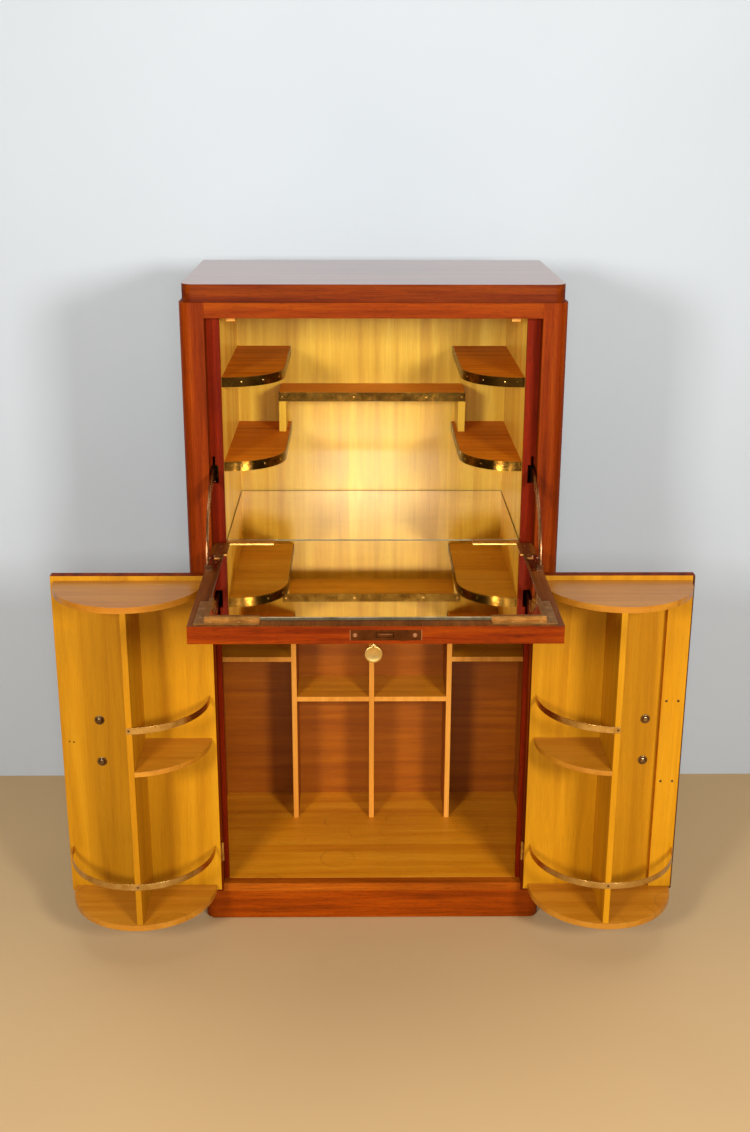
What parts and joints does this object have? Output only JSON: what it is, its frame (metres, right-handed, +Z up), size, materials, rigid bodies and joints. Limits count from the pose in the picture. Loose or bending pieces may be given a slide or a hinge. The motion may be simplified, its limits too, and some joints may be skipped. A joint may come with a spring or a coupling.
{
  "type": "bar cabinet",
  "caption": "Tall bar cabinet with rounded corner posts, a mirrored fall-front flap on quadrant stays, brass-edged shelves inside, and two doors with half-round bottle racks",
  "frame": {"origin": "Middle of the carcass footprint on the floor, under the glide of the plinth's centre rail", "axes": "+Z up, the front with flap and doors faces -Y, +X to the right of someone facing the front"},
  "size_m": [1.214, 0.828, 1.2975],
  "materials": {
    "mahogany": "high gloss",
    "mahogany_dark": "high gloss",
    "golden_veneer": "satin",
    "shelf_veneer": "satin",
    "lower_veneer": "satin",
    "door_inner": "satin",
    "plinth_wood": "gloss",
    "brass": "polished",
    "aged_brass": "aged",
    "mirror": "silvered",
    "steel": "dull",
    "glide": "matt"
  },
  "bodies": {
    "carcass": {"top_panel": "mahogany", "top_rail": "mahogany", "strike_plate": "brass", "left_post": "mahogany", "right_post": "mahogany", "left_side": "mahogany", "right_side": "mahogany", "back_panel": "golden_veneer", "upper_ceiling": "golden_veneer", "upper_floor": "golden_veneer", "floor_mirror": "mirror", "left_lining": "golden_veneer", "right_lining": "golden_veneer", "stop_strips": "mahogany_dark", "middle_rail": "mahogany", "lower_ceiling": "lower_veneer", "floor_bearers": "lower_veneer", "bottom_board": "lower_veneer", "floor_lipping": "mahogany", "plinth_front": "plinth_wood", "plinth_sides": "plinth_wood", "glides": "glide", "left_lower_shelf": "shelf_veneer", "left_upper_shelf": "shelf_veneer", "right_lower_shelf": "shelf_veneer", "right_upper_shelf": "shelf_veneer", "middle_shelf": "shelf_veneer", "shelf_posts": "shelf_veneer", "shelf_edging": "aged_brass", "cell_dividers": "lower_veneer", "cell_shelf": "lower_veneer", "bay_shelves": "lower_veneer", "flap_stops": "mahogany_dark", "flap_pivots": "brass", "carcass_hinges": "brass"},
    "flap": {"flap_panel": "mahogany", "flap_mirror": "mirror", "mirror_brackets": "brass", "left_quadrant": "aged_brass", "right_quadrant": "aged_brass", "lock_case": "steel", "lock_trim": "brass"},
    "key": {"key": "brass"},
    "lock_bolt": {"lock_bolt": "steel"},
    "left_door": {"left_door_panel": "door_inner", "left_rack_ends": "door_inner", "left_rack_divider": "door_inner", "left_rack_shelf": "door_inner", "left_rack_rails": "brass", "left_door_handle": "brass", "left_door_hinges": "brass"},
    "right_door": {"right_door_panel": "door_inner", "right_rack_ends": "door_inner", "right_rack_divider": "door_inner", "right_rack_shelf": "door_inner", "right_rack_rails": "brass", "right_door_handle": "brass", "right_door_hinges": "brass", "right_closing_stile": "door_inner"}
  },
  "joints": [
    {"name": "flap_hinge", "type": "hinge", "parent": "carcass", "child": "flap", "pos_m": [0, -0.187, 0.7964], "axis": [-1, 0, 0], "range_deg": [0, 90]},
    {"name": "key_turn", "type": "hinge", "parent": "flap", "child": "key", "pos_m": [-0.0035, -0.599, 0.78], "axis": [0, 0, 1], "range_deg": [0, 90]},
    {"name": "bolt_slide", "type": "slide", "parent": "flap", "child": "lock_bolt", "axis": [0, -1, 0], "range_m": [0, 0.008]},
    {"name": "left_door_hinge", "type": "hinge", "parent": "carcass", "child": "left_door", "pos_m": [-0.304, -0.2055, 0.4], "axis": [0, 0, 1], "range_deg": [0, 180]},
    {"name": "right_door_hinge", "type": "hinge", "parent": "carcass", "child": "right_door", "pos_m": [0.304, -0.2055, 0.4], "axis": [0, 0, -1], "range_deg": [0, 180]}
  ],
  "couplings": [
    {"joint": "key_turn", "follows": "bolt_slide", "rad_per_m": 196.34}
  ]
}
